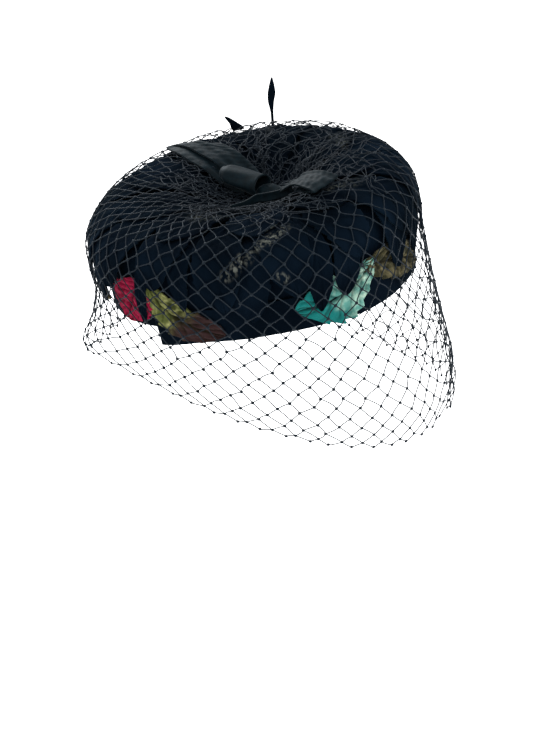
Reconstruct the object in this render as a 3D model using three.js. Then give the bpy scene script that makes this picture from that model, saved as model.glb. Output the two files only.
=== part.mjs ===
// A black velvet pillbox hat with a sunken crown, velvet leaves, a ribbon bow and a net veil.
// Millimetres, +Z up. The origin is the middle of the head opening, on the plane of the lower edge.
// The wearer faces -Y and the wearer's right side is -X.
// A turn is the angle round the hat from the wearer's right side, growing towards the front.
// A run is the share of the way over the crown, from 0 in its hollow's middle to 1 at its lower edge.
// A lift is the distance out from the crown's cloth, along the direction that the cloth faces.

import * as THREE from "three";
import { mergeVertices } from "three/addons/utils/BufferGeometryUtils.js";

// The stiffened crown, whose top leans down to the wearer's right
const crownLength = 182;
const crownWidth = 152;
const crownHeight = 60;
const crownLean = 0.17;
const crownWall = 2.2;
const crownLowerEdge = 7.5;
const hollowForward = 13;
const hollowSideways = 3;

// The band round its lower edge, which stops on each side of the back
const bandHeight = 20;
const bandThickness = 1.3;
const bandEndTurn = -40;
const bandDroop = 3;

// The velvet leaves, laid in layers
const leafThickness = 1;
const leafRise = 0.7;
const layerGap = 0.9;

// The ribbon of the bow
const ribbonWidth = 23;
const ribbonThickness = 1.2;
const knotLength = 17;
const knotWidth = 13;
const knotHeight = 11.5;
const tailHeight = 5;
const bowRoot = 16; // from the knot's middle to where its ribbons leave it

// The leaves whose tips stand up out of the net
const uprightHeight = 31;
const uprightWidth = 4.6;
const stemWidth = 1.5;
const raisedTipLength = 20;
const raisedTipWidth = 6;

// The net veil: its drops are how far it hangs below the lower edge
const veilFrontDrop = 94;
const veilBackDrop = 20;
const veilThickness = 1.2;
const veilStrand = 3.5;
const veilFlare = 7;
const veilClearance = 2;
const veilBend = 0.8;
const gatherGap = 2.5;
const meshesRound = 24;
const meshRows = 6;

const pieceGap = 0.35;
const layerStep = leafThickness + layerGap;
const gatherRadius = knotLength / 2 + gatherGap;
const radian = Math.PI / 180;
const { lerp, clamp, smoothstep } = THREE.MathUtils;

// The crown's outline from the middle of its hollow to its lower edge: out is a share of the half length,
// and up a share of the height above the lower edge.
const crownOutline = [
  { out: 0.0, up: 0.78 },
  { out: 0.16, up: 0.8 },
  { out: 0.33, up: 0.87 },
  { out: 0.5, up: 0.96 },
  { out: 0.64, up: 1.0 },
  { out: 0.76, up: 0.99 },
  { out: 0.85, up: 0.965 },
  { out: 0.93, up: 0.885 },
  { out: 0.98, up: 0.745 },
  { out: 1.0, up: 0.45 },
  { out: 0.99, up: 0.2 },
  { out: 0.985, up: 0.0 },
];

const halfLength = crownLength / 2;
const widthShare = crownWidth / crownLength;
const outlineCurve = new THREE.SplineCurve(
  crownOutline.map(
    (s) =>
      new THREE.Vector2(
        s.out * halfLength,
        lerp(crownLowerEdge, crownHeight, s.up),
      ),
  ),
);
const runLength = outlineCurve.getLength();

// A point of the crown's cloth. The hollow lies off the middle, and the rings round it follow it less
// and less.
function crownCloth(turn, run) {
  const section = outlineCurve.getPointAt(clamp(run, 0, 1));
  const follow = 1 - smoothstep(section.x / halfLength, 0, 0.9);
  const x = -widthShare * section.x * Math.cos(turn) - hollowSideways * follow;
  const y = -section.x * Math.sin(turn) - hollowForward * follow;
  const upShare = (section.y - crownLowerEdge) / (crownHeight - crownLowerEdge);
  return new THREE.Vector3(x, y, section.y + crownLean * x * upShare);
}

// The direction that the cloth faces.
function crownNormal(turn, run) {
  const step = 1e-3;
  const near = clamp(run, 0.01, 1 - step);
  const down = crownCloth(turn, near + step).sub(crownCloth(turn, near - step));
  const round = crownCloth(turn + step, near).sub(crownCloth(turn - step, near));
  return down.cross(round).normalize();
}

// The place that lies this far out from the cloth. Past the lower edge it goes straight down.
function onCrown(turn, run, lift) {
  const point = crownCloth(turn, run).addScaledVector(crownNormal(turn, run), lift);
  return point.setZ(point.z - Math.max(0, run - 1) * runLength);
}

// How many millimetres a radian of turn measures at this place.
function radiusAt(turn, run) {
  const step = 1e-3;
  const ends = [turn + step, turn - step].map((t) => crownCloth(t, run));
  return ends[0].distanceTo(ends[1]) / (2 * step);
}

// A closed body from triangles of points, turned to face out.
function bodyOf(triangles) {
  const loose = new THREE.BufferGeometry().setFromPoints(triangles.flat());
  const merged = mergeVertices(loose, 1e-3);
  const at = (i) => new THREE.Vector3().fromBufferAttribute(merged.attributes.position, i);
  const faces = [];
  let volume = 0;
  for (let i = 0; i < merged.index.count; i += 3) {
    const [p, q, r] = merged.index.array.slice(i, i + 3);
    if (p === q || q === r || r === p) continue;
    faces.push([p, q, r]);
    volume += at(p).dot(at(q).cross(at(r)));
  }
  merged.setIndex(faces.flatMap(([p, q, r]) => (volume > 0 ? [p, q, r] : [p, r, q])));
  merged.computeVertexNormals();
  return merged;
}

function fan(triangles, ...points) {
  for (let i = 1; i + 1 < points.length; i++) {
    triangles.push([points[0], points[i], points[i + 1]]);
  }
}

// A sheet with thickness from flat patches. A patch lists its corners by name, all patches in one sense,
// and faces(name) gives a corner's two points, outer and inner. Edges that no other patch shares get a
// wall.
function sheetOf(patches, faces) {
  const triangles = [];
  const shared = new Set();
  const edgesOf = (patch) => patch.map((a, i) => [a, patch[(i + 1) % patch.length]]);
  for (const patch of patches) {
    fan(triangles, ...patch.map((name) => faces(name)[0]));
    fan(triangles, ...patch.map((name) => faces(name)[1]).reverse());
    edgesOf(patch).forEach(([a, b]) => shared.add(`${a} to ${b}`));
  }
  for (const patch of patches) {
    for (const [a, b] of edgesOf(patch)) {
      if (shared.has(`${b} to ${a}`)) continue;
      fan(triangles, faces(b)[0], faces(a)[0], faces(a)[1], faces(b)[1]);
    }
  }
  return bodyOf(triangles);
}

function evenly(count, at) {
  return Array.from({ length: count + 1 }, (_, i) => at(i / count));
}

// A sheet over a grid of rows and columns: surface(along, side) gives its outer and inner point. A closed
// sheet joins its last column to its first, and a sheet with a pole starts at one point.
function gridSheet(rows, columns, surface, { closed = false, pole = false } = {}) {
  const name = (i, j) => `${i} ${pole && i === 0 ? 0 : closed ? j % columns : j}`;
  const points = new Map();
  for (let i = 0; i <= rows; i++) {
    for (let j = 0; j <= columns; j++) {
      if (!points.has(name(i, j))) points.set(name(i, j), surface(i / rows, j / columns));
    }
  }
  const patches = [];
  for (let i = 0; i < rows; i++) {
    for (let j = 0; j < columns; j++) {
      const corners = [name(i, j), name(i, j + 1), name(i + 1, j + 1), name(i + 1, j)];
      patches.push(corners.filter((corner, k) => corners.indexOf(corner) === k));
    }
  }
  return sheetOf(patches, (corner) => points.get(corner));
}

// Both faces of a sheet whose middle is given by place(along, side).
function thickened(place, thickness) {
  const step = 2e-3;
  return (along, side) => {
    const across = place(along, side + step).sub(place(along, side - step));
    const ends = [Math.min(along + step, 1), Math.max(along - step, 0)];
    const onward = place(ends[0], side).sub(place(ends[1], side));
    const facing = onward.cross(across).normalize();
    return [0.5, -0.5].map((half) =>
      place(along, side).addScaledVector(facing, half * thickness),
    );
  };
}

// A smooth line through one column of a table.
function column(rows, ...keys) {
  const points = rows.map((row) => new THREE.Vector3(...keys.map((key) => row[key] ?? 0)));
  return new THREE.CatmullRomCurve3(points);
}

const materials = {
  velvet: new THREE.MeshStandardMaterial({ color: 0x0b0e12, roughness: 0.95, metalness: 0 }),
  ribbon: new THREE.MeshStandardMaterial({ color: 0x14181d, roughness: 0.8, metalness: 0 }),
  net: new THREE.MeshStandardMaterial({ color: 0x101216, roughness: 0.5, metalness: 0 }),
  red: new THREE.MeshStandardMaterial({ color: 0xa01436, roughness: 0.9, metalness: 0 }),
  green: new THREE.MeshStandardMaterial({ color: 0x6b7034, roughness: 0.9, metalness: 0 }),
  teal: new THREE.MeshStandardMaterial({ color: 0x2fa79c, roughness: 0.8, metalness: 0 }),
  olive: new THREE.MeshStandardMaterial({ color: 0x6a5c33, roughness: 0.9, metalness: 0 }),
};

const hat = new THREE.Group();

function add(name, geometry, material) {
  const mesh = new THREE.Mesh(geometry, materials[material].clone());
  mesh.name = name;
  hat.add(mesh);
}

// The crown: one moulded wall, open below, with its lower edge cut flat.
function crown() {
  const wall = (along, side) =>
    [0, -crownWall].map((lift) => {
      const point = onCrown(side * 2 * Math.PI, along, lift);
      return along === 1 ? point.setZ(crownLowerEdge) : point;
    });
  return gridSheet(11, 30, wall, { closed: true, pole: true });
}

// The band: it laps the crown's side, hangs below its edge, and stops at bandEndTurn on each side. It
// sinks a little over its last bandSinks degrees.
const bandSinks = 20;

function band() {
  const lap = (bandHeight - crownLowerEdge) / runLength;
  const wall = (along, side) => {
    const turn = lerp(bandEndTurn * radian, Math.PI - bandEndTurn * radian, side);
    const fromEnd = Math.min(side, 1 - side) * (180 - 2 * bandEndTurn);
    const droop = bandDroop * (1 - smoothstep(fromEnd, 0, bandSinks));
    const height = bandHeight * (1 - along);
    const run = 1 - lap * Math.max(0, (height - crownLowerEdge) / (bandHeight - crownLowerEdge));
    return [leafRise + bandThickness, leafRise].map((lift) =>
      onCrown(turn, run, lift).setZ(height - droop),
    );
  };
  return gridSheet(3, 38, wall);
}

// The layers of leaves, as the lift of each leaf's underside at each run: the coloured ones clear the
// band, the side ones start under the top ones and clear the coloured ones, and the top ones clear
// those roots.
const colouredLift = leafRise + bandThickness + pieceGap;
const sideRise = { from: 0.52, to: 0.7 };
const topRise = { from: 0.18, to: 0.4 };
const sideLift = (run, above) =>
  lerp(leafRise, colouredLift + layerStep, smoothstep(run, sideRise.from, sideRise.to)) +
  above * layerStep;
const topLift = (run) =>
  lerp(leafRise, sideLift(run, 2), smoothstep(run, topRise.from, topRise.to));
const leavesTop = colouredLift + 2 * layerStep + leafThickness;

// A leaf's half width along its length, as a share: a narrow root, a full middle and a pointed tip.
function leafBreadth(along, fullness) {
  const swell = Math.max(0, Math.sin(Math.PI * Math.pow(along, fullness)));
  return 0.06 + 0.94 * Math.pow(swell, 0.75);
}

// Both faces of a leaf at a place on the crown, whose underside has this lift.
function leafFaces(turn, run, lift) {
  return [lift + leafThickness, lift].map((height) => onCrown(turn, run, height));
}

// A coloured leaf. Its middle is at turn and run, and its length is turned by slant from straight down.
function colouredLeaf({ turn, run, slant, length, breadth, bend = 0, fullness = 0.9 }) {
  const [cos, sin] = [Math.cos(slant * radian), Math.sin(slant * radian)];
  const surface = (along, side) => {
    const halfWidth = breadth * leafBreadth(along, fullness);
    const curve = bend * (1 - (2 * along - 1) ** 2);
    const across = ((2 * side - 1) * halfWidth + curve) * crownHeight;
    const down = (along - 0.5) * length * crownHeight;
    const placeRun = run + (down * cos - across * sin) / runLength;
    const spread = (down * sin + across * cos) / radiusAt(turn * radian, placeRun);
    return leafFaces(turn * radian + spread, placeRun, colouredLift);
  };
  return gridSheet(5, 4, surface);
}

// The coloured leaves round the lower side. Turn and slant are in degrees, run is a share, and length,
// breadth (a half width) and bend (of the middle line) are shares of the crown's height. A larger
// fullness puts the widest place nearer the end.
const colouredLeaves = [
  { name: "red_right", turn: -48, run: 0.845, slant: -8, length: 0.64, breadth: 0.25 },
  { name: "green_right", turn: -24.5, run: 0.895, slant: 46, length: 0.86, breadth: 0.2, bend: -0.1 },
  {
    name: "teal_right", turn: 27, run: 0.905, slant: -66, length: 0.9, breadth: 0.26, bend: 0.09,
    fullness: 1.4,
  },
  { name: "olive_right", turn: 58, run: 0.92, slant: 62, length: 0.76, breadth: 0.22 },
  { name: "red_left", turn: 103, run: 0.84, slant: 12, length: 0.6, breadth: 0.25 },
  { name: "green_left", turn: 130, run: 0.86, slant: -40, length: 0.76, breadth: 0.21 },
  { name: "teal_left", turn: 182, run: 0.88, slant: 66, length: 0.8, breadth: 0.24, bend: -0.08 },
  { name: "olive_left", turn: 210, run: 0.86, slant: -50, length: 0.72, breadth: 0.21 },
  { name: "olive_back", turn: 277, run: 0.835, slant: 35, length: 0.62, breadth: 0.22 },
];

// The black leaves of the side, turn in degrees: broad ones side by side, whose points reach the runs in
// tips, and under them narrower ones, each with its own slant and half breadth.
const broadLeaves = {
  first: -36,
  tips: [0.76, 0.87, 0.86, 0.785, 0.8, 0.92, 0.88, 0.93, 0.9, 0.85, 0.92, 0.88, 0.93, 0.86, 0.8],
  breadth: 0.235,
  slant: 3,
};
const underLeaves = [
  { turn: -36.5, tip: 0.97, breadth: 0.065, slant: -6 },
  { turn: -27, tip: 0.885, breadth: 0.11, slant: 4 },
  { turn: -2, tip: 0.965, breadth: 0.24, slant: 0 },
  { turn: 26.5, tip: 0.985, breadth: 0.1, slant: -5 },
  { turn: 38, tip: 0.945, breadth: 0.1, slant: -8 },
  { turn: 54, tip: 0.945, breadth: 0.07, slant: 3 },
  { turn: 74, tip: 0.95, breadth: 0.17, slant: -3 },
  { turn: 94, tip: 0.93, breadth: 0.24, slant: 3 },
  { turn: 142, tip: 0.95, breadth: 0.24, slant: -3 },
  { turn: 190, tip: 0.93, breadth: 0.24, slant: 3 },
  { turn: 238, tip: 0.94, breadth: 0.24, slant: -3 },
  { turn: 286, tip: 0.93, breadth: 0.24, slant: 3 },
];
const sideLeafShape = { root: 0.42, fullness: 0.95 };
const topLeafShape = { count: 9, first: 4, root: 0.16, tip: 0.57, spread: 0.9, fullness: 1.25 };

const sideLeaves = [
  ...broadLeaves.tips.map((tip, i) => ({
    turn: broadLeaves.first + (i * 360) / broadLeaves.tips.length,
    tip,
    breadth: broadLeaves.breadth,
    slant: broadLeaves.slant,
    above: 1,
  })),
  ...underLeaves.map((row) => ({ ...row, above: 0 })),
];

// A side leaf. Its rows lie at the same runs as its neighbours', closest together round the crown's
// shoulder, so that the layers stay parallel.
const sideLeafRows = [0, 0.22, 0.4, 0.55, 0.7, 0.86, 1];
const sideLeafLowest = 0.94;

function sideLeaf({ turn, tip, slant, breadth, above }) {
  const { root, fullness } = sideLeafShape;
  const rows = sideLeafRows.map((share) => Math.min(lerp(root, sideLeafLowest, share), tip));
  rows[rows.length - 1] = tip;
  const surface = (share, side) => {
    const run = rows[Math.round(share * (rows.length - 1))];
    const across =
      (2 * side - 1) * breadth * crownHeight * leafBreadth((run - root) / (tip - root), fullness);
    const down = (run - root) * runLength * Math.tan(slant * radian);
    const spread = (across + down) / radiusAt(turn * radian, run);
    return leafFaces(turn * radian + spread, run, sideLift(run, above));
  };
  return gridSheet(rows.length - 1, above ? 3 : 2, surface);
}

// A top leaf, one of a round of petals that don't reach each other.
function topLeaf(index) {
  const { count, first, root, tip, spread, fullness } = topLeafShape;
  const middle = first + (index * 360) / count;
  const surface = (along, side) => {
    const run = lerp(root, tip, along);
    const aside = (2 * side - 1) * spread * (180 / count) * leafBreadth(along, fullness);
    return leafFaces((middle + aside) * radian, run, topLift(run));
  };
  return gridSheet(6, 3, surface);
}

// The lift of the veil's middle: it clears the leaves, and comes down to the roots at its gather.
const veilLift = leavesTop + veilClearance + veilThickness / 2;
const gatherLift = leafRise + leafThickness + veilClearance + veilThickness / 2;
const gatherRun = gatherRadius / runLength;
const veilRise = { from: 0.12, to: 0.34 };
const veilLiftAt = (run) =>
  lerp(gatherLift, veilLift, smoothstep(run, veilRise.from, veilRise.to));

// The stretch from the crown's side to the hem: down is a share of the way, flare a share of the most that
// the veil stands out.
const veilHang = [
  { down: 0.3, flare: 0.2 },
  { down: 0.55, flare: 0.55 },
  { down: 0.8, flare: 1.0 },
  { down: 1.0, flare: 0.65 },
];
const veilLeavesCrown = 0.9;
const backFlare = 0.35;

// Rows of meshes crowd towards the gather, and the closed ring there takes part of the first row.
const rowCrowding = 1.35;
const ringRow = 0.45;
const largestKnot = 0.3;

// The veil's way at one turn: over the crown to its side, then free to the hem.
function veilCurve(turn) {
  const points = evenly(8, (share) => {
    const run = lerp(gatherRun, veilLeavesCrown, share);
    return onCrown(turn, run, veilLiftAt(run));
  });
  const side = points[points.length - 1];
  const outward = new THREE.Vector3(side.x, side.y, 0).normalize();
  const forward = smoothstep((1 + Math.sin(turn)) / 2, 0, 1);
  const hem = -lerp(veilBackDrop, veilFrontDrop, forward);
  for (const { down, flare } of veilHang) {
    const out = veilFlare * flare * lerp(backFlare, 1, forward);
    const point = side.clone().addScaledVector(outward, out);
    points.push(point.setZ(lerp(side.z, hem, down)));
  }
  return new THREE.CatmullRomCurve3(points, false, "centripetal");
}

const veilCurves = new Map();

// A point of the veil's middle. A column is a mesh's place round the hat, and rows count half meshes
// from 0 at the gather to meshRows at the hem, closer together towards the gather.
function veilPoint(column, row) {
  const round = ((column % meshesRound) + meshesRound) % meshesRound;
  const key = round.toFixed(5);
  if (!veilCurves.has(key)) {
    veilCurves.set(key, veilCurve((round * 2 * Math.PI) / meshesRound));
  }
  const share = Math.pow(clamp(row / meshRows, 0, 1), rowCrowding);
  return veilCurves.get(key).getPointAt(share);
}

// The net: a closed ring at the gather, then diamond meshes cut through between strands, and the points of
// the last strands as its hem.
function veil() {
  const patches = [];
  const corners = new Map();
  const name = (column, row) => {
    const round = ((column % meshesRound) + meshesRound) % meshesRound;
    const text = `${(Math.round(round * 1e4) / 1e4) % meshesRound} ${row.toFixed(4)}`;
    if (!corners.has(text)) corners.set(text, [column, row]);
    return text;
  };
  const patch = (...places) => patches.push(places.map((p) => name(...p)));
  // Where the strands' edges meet round a knot: the strands' width over the size of the mesh there
  const knotSize = (row) => {
    const middle = Math.min(row, meshRows - 1);
    const aside = veilPoint(0.5, middle).distanceTo(veilPoint(-0.5, middle)) / 2;
    const below = veilPoint(0, middle + 1).distanceTo(veilPoint(0, middle));
    return Math.min(largestKnot, ((veilStrand / 2) * Math.hypot(aside, below)) / (aside * below));
  };
  const knot = (column, row) => {
    const size = knotSize(row);
    const middle = Math.min(row, meshRows - size);
    return {
      top: [column, middle - size],
      left: [column - size / 2, middle],
      right: [column + size / 2, middle],
      bottom: [column, middle + size],
    };
  };
  // A strand between two knots, in as many steps as keep it within veilBend of the curved net
  const strand = (upperStart, upperEnd, lowerStart, lowerEnd) => {
    const [start, middle, end] = [0, 0.5, 1].map((s) =>
      veilPoint(lerp(upperStart[0], upperEnd[0], s), lerp(upperStart[1], upperEnd[1], s)),
    );
    const bulge = middle.distanceTo(start.lerp(end, 0.5));
    const steps = Math.max(1, Math.ceil(Math.sqrt(bulge / veilBend)));
    const upper = evenly(steps, (s) => [0, 1].map((k) => lerp(upperStart[k], upperEnd[k], s)));
    const lower = evenly(steps, (s) => [0, 1].map((k) => lerp(lowerStart[k], lowerEnd[k], s)));
    for (let i = 0; i < steps; i++) patch(upper[i], upper[i + 1], lower[i + 1], lower[i]);
  };
  for (let i = 0; i < meshesRound; i++) {
    const first = knot(i + 0.5, 1);
    patch([i, 0], [i + 1, 0], [i + 1, ringRow], [i, ringRow]);
    patch([i, ringRow], [i + 1, ringRow], first.right, first.left);
    patch(first.left, first.right, first.bottom);
    for (let row = 1; row < meshRows; row++) {
      const column = i + (row % 2) / 2;
      const here = knot(column, row);
      const right = knot(column + 0.5, row + 1);
      const left = knot(column - 0.5, row + 1);
      strand(here.right, right.top, here.bottom, right.left);
      strand(here.bottom, left.right, here.left, left.top);
      patch(right.top, right.right, right.bottom, right.left);
    }
  }
  const place = thickened(
    (along, side) => veilPoint(side * meshesRound, along * meshRows),
    veilThickness,
  );
  const faces = new Map();
  for (const [text, [column, row]] of corners) {
    faces.set(text, place(row / meshRows, column / meshesRound));
  }
  return sheetOf(patches, (corner) => faces.get(corner));
}

// The bow's flat loops. Each leaves the knot at a turn and reaches out to a run. Its rows give the swing
// of the turn in degrees, the reach as a share of the way out, the rise over the net and the width, both
// as shares of the ribbon's width, and the skew: how much farther out its nearer edge lies, also as a
// share.
const bowRibbons = [
  {
    name: "bow_loop_back",
    turn: -150,
    far: 0.48,
    rows: [
      { swing: 9, reach: 0, rise: 0.05, wide: 0.5, skew: 0 },
      { swing: 7, reach: 0.3, rise: 0.03, wide: 0.75, skew: 0.06 },
      { swing: 2, reach: 0.8, rise: 0.03, wide: 0.85, skew: 0.18 },
      { swing: 0, reach: 1, rise: 0.08, wide: 0.85, skew: 0.22 },
      { swing: -3, reach: 0.86, rise: 0.14, wide: 0.85, skew: 0.2 },
      { swing: -6, reach: 0.4, rise: 0.15, wide: 0.8, skew: 0.08 },
      { swing: -8, reach: 0.03, rise: 0.17, wide: 0.55, skew: 0 },
    ],
  },
  {
    name: "bow_loop_front",
    turn: 48,
    far: 0.46,
    rows: [
      { swing: 0, reach: 0, rise: 0.03, wide: 0.5, skew: 0 },
      { swing: 1, reach: 0.37, rise: 0.03, wide: 0.75, skew: 0 },
      { swing: 1, reach: 0.8, rise: 0.03, wide: 0.8, skew: 0 },
      { swing: 0, reach: 1, rise: 0.11, wide: 0.85, skew: 0 },
      { swing: 0, reach: 0.8, rise: 0.2, wide: 0.8, skew: 0 },
      { swing: 0, reach: 0.4, rise: 0.26, wide: 0.75, skew: 0 },
      { swing: 0, reach: 0.03, rise: 0.36, wide: 0.5, skew: 0 },
    ],
  },
];

function ribbon({ turn, far, rows }) {
  const route = column(rows, "swing", "reach", "rise");
  const shape = column(rows, "wide", "skew");
  const place = (along, side) => {
    const { x: swing, y: reach, z: rise } = route.getPoint(along);
    const { x: wide, y: skew } = shape.getPoint(along);
    const across = (side - 0.5) * ribbonWidth * wide;
    const run = lerp(bowRoot / runLength, far, reach + (2 * side - 1) * skew);
    const middle = (turn + swing) * radian;
    const lift = veilLiftAt(run) + (veilThickness + ribbonThickness) / 2 + pieceGap;
    return onCrown(middle + across / radiusAt(middle, run), run, lift + rise * ribbonWidth);
  };
  return gridSheet(2 * (rows.length - 1), 3, thickened(place, ribbonThickness));
}

// The puffed loop: a ribbon closed round an ellipse that lies over the back loop. Its ends, the ribbon's
// two edges, are given by turn in degrees and run, and the rise is over the net.
const puff = {
  ends: [
    { turn: -124, run: 0.078, halfBreadth: 7.2, halfHeight: 5.2 },
    { turn: -134, run: 0.23, halfBreadth: 5.2, halfHeight: 4.4 },
  ],
  rise: 6.6,
};

function puffedLoop() {
  const [near, far] = puff.ends.map(({ turn, run }) =>
    onCrown(turn * radian, run, veilLiftAt(run) + puff.rise),
  );
  const way = far.clone().sub(near).setZ(0).normalize();
  const beside = new THREE.Vector3(-way.y, way.x, 0);
  const place = (along, side) => {
    const angle = 2 * Math.PI * side;
    const size = (key) => lerp(puff.ends[0][key], puff.ends[1][key], along);
    const centre = near.clone().lerp(far, along);
    centre.addScaledVector(beside, size("halfBreadth") * Math.cos(angle));
    return centre.setZ(centre.z + size("halfHeight") * (1 + Math.sin(angle)));
  };
  return gridSheet(3, 12, thickened(place, ribbonThickness), { closed: true });
}

// The narrow end of the ribbon, which lies round the knot's near side on its edge: turn in degrees, run,
// rise of its middle over the net in millimetres, and its height as a share of the tail's height.
const tail = [
  { turn: 36, run: 0.2, rise: 4.4, tall: 0.5 },
  { turn: 24, run: 0.15, rise: 5, tall: 0.9 },
  { turn: -2, run: 0.128, rise: 5, tall: 1.0 },
  { turn: -22, run: 0.135, rise: 4.4, tall: 0.9 },
  { turn: -26, run: 0.2, rise: 2.9, tall: 0.6 },
  { turn: -24, run: 0.27, rise: 1.6, tall: 0.2 },
];

function tailRibbon() {
  const route = column(tail, "turn", "run", "rise");
  const tallness = column(tail, "tall");
  const place = (along, side) => {
    const { x: turn, y: run, z: rise } = route.getPoint(along);
    const up = (side - 0.5) * tailHeight * tallness.getPoint(along).x;
    return onCrown(turn * radian, run, veilLiftAt(run) + veilThickness / 2 + pieceGap + rise + up);
  };
  return gridSheet(3 * (tail.length - 1), 2, thickened(place, ribbonThickness));
}

// The knot, sewn to the crown through the gather of the veil.
function knot() {
  const ball = new THREE.SphereGeometry(0.5, 12, 8);
  ball.scale(knotWidth, knotLength, knotHeight);
  const seat = crownCloth(0, 0);
  ball.translate(seat.x, seat.y, seat.z + pieceGap + knotHeight / 2);
  const points = ball.toNonIndexed().attributes.position;
  const triangles = [];
  for (let i = 0; i < points.count; i += 3) {
    triangles.push([0, 1, 2].map((k) => new THREE.Vector3().fromBufferAttribute(points, i + k)));
  }
  return bodyOf(triangles);
}

// A leaf that stands up through a mesh of the veil from the leaves under it. Its rows give the place along
// the round of the crown and the height as shares of its length, and the width as a share of its width.
function standingLeaf({ turn, run, length, width, rows }) {
  const under = run < topLeafShape.tip ? topLift(run) : sideLift(run, 1);
  const foot = onCrown(turn * radian, run, under + leafThickness + pieceGap);
  const outward = crownNormal(turn * radian, run).setZ(0).normalize();
  const round = new THREE.Vector3(-outward.y, outward.x, 0);
  const spine = column(rows, "round", "up");
  const widths = column(rows, "wide");
  const place = (along, side) => {
    const { x: aside, y: up } = spine.getPoint(along).multiplyScalar(length);
    const across = (side - 0.5) * width * widths.getPoint(along).x;
    return foot.clone().addScaledVector(round, aside + across).setZ(foot.z + up);
  };
  return gridSheet(rows.length + 1, 2, thickened(place, leafThickness));
}

const standingLeaves = [
  {
    name: "leaf_upright",
    turn: 167.4,
    run: 0.625,
    length: uprightHeight,
    width: uprightWidth,
    rows: [
      { round: 0.0, up: 0.0, wide: stemWidth / uprightWidth },
      { round: -0.04, up: 0.3, wide: stemWidth / uprightWidth },
      { round: -0.06, up: 0.52, wide: 0.75 },
      { round: -0.1, up: 0.68, wide: 1.0 },
      { round: -0.14, up: 0.86, wide: 0.6 },
      { round: -0.17, up: 1.0, wide: 0.12 },
    ],
  },
  {
    name: "leaf_tip_far",
    turn: 180,
    run: 0.56,
    length: raisedTipLength,
    width: raisedTipWidth,
    rows: [
      { round: 0.0, up: 0.0, wide: 0.5 },
      { round: 0.05, up: 0.3, wide: 0.8 },
      { round: 0.3, up: 0.55, wide: 0.85 },
      { round: 0.62, up: 0.8, wide: 0.15 },
    ],
  },
];

add("crown", crown(), "velvet");
add("rim_band", band(), "velvet");
for (const row of colouredLeaves) {
  add(`leaf_${row.name}`, colouredLeaf(row), row.name.split("_")[0]);
}
sideLeaves.forEach((row, i) => {
  add(`leaf_side_${String(i + 1).padStart(2, "0")}`, sideLeaf(row), "velvet");
});
for (let i = 0; i < topLeafShape.count; i++) {
  add(`leaf_top_${i + 1}`, topLeaf(i), "velvet");
}
add("veil_net", veil(), "net");
add("bow_knot", knot(), "ribbon");
for (const row of bowRibbons) {
  add(row.name, ribbon(row), "ribbon");
}
add("bow_loop_middle", puffedLoop(), "ribbon");
add("bow_tail_right", tailRibbon(), "ribbon");
for (const row of standingLeaves) {
  add(row.name, standingLeaf(row), "velvet");
}

export default hat;
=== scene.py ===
"""Black velvet pillbox hat with velvet leaves, a ribbon bow and a knotted net veil.

Metres, +Z up, the wearer facing -Y with the right side towards -X. A turn is the angle round the hat from
the wearer's right side towards the front, a run is the share of the way from the hollow to the lower edge,
and a lift is the distance out from the crown's cloth.
"""

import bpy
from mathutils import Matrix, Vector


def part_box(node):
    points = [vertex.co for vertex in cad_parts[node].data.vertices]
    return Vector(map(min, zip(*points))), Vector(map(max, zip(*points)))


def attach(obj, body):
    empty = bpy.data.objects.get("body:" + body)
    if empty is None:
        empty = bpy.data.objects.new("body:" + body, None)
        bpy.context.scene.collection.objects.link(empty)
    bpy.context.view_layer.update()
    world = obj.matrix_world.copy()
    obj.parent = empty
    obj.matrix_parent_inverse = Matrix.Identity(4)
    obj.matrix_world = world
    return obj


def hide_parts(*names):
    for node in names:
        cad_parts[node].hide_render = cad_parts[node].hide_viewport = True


bl_info = {
    "name": "Velvet pillbox hat with veil",
    "version": (1, 0, 0),
    "blender": (4, 5, 0),
    "location": "View3D > Sidebar > Hat",
    "description": "Builds the cloth, leaves, bow and net of a velvet pillbox hat",
    "category": "Object",
}

import math

import bmesh
import bpy
import numpy as np
from bpy.props import FloatProperty, FloatVectorProperty, IntProperty, PointerProperty
from mathutils import Matrix, Vector

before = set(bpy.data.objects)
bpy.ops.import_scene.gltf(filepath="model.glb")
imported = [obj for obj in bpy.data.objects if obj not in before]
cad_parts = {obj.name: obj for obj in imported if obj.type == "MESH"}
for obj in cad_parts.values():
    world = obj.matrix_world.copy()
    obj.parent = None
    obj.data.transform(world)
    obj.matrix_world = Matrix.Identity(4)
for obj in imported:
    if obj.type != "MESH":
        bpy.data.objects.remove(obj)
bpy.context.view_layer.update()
BODY = "root"


def colour_prop(name, description, default):
    return FloatVectorProperty(
        name=name, description=description, subtype="COLOR", size=3, min=0, max=1, default=default
    )


def length_prop(name, description, default):
    return FloatProperty(name=name, description=description, unit="LENGTH", precision=4, default=default)


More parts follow.
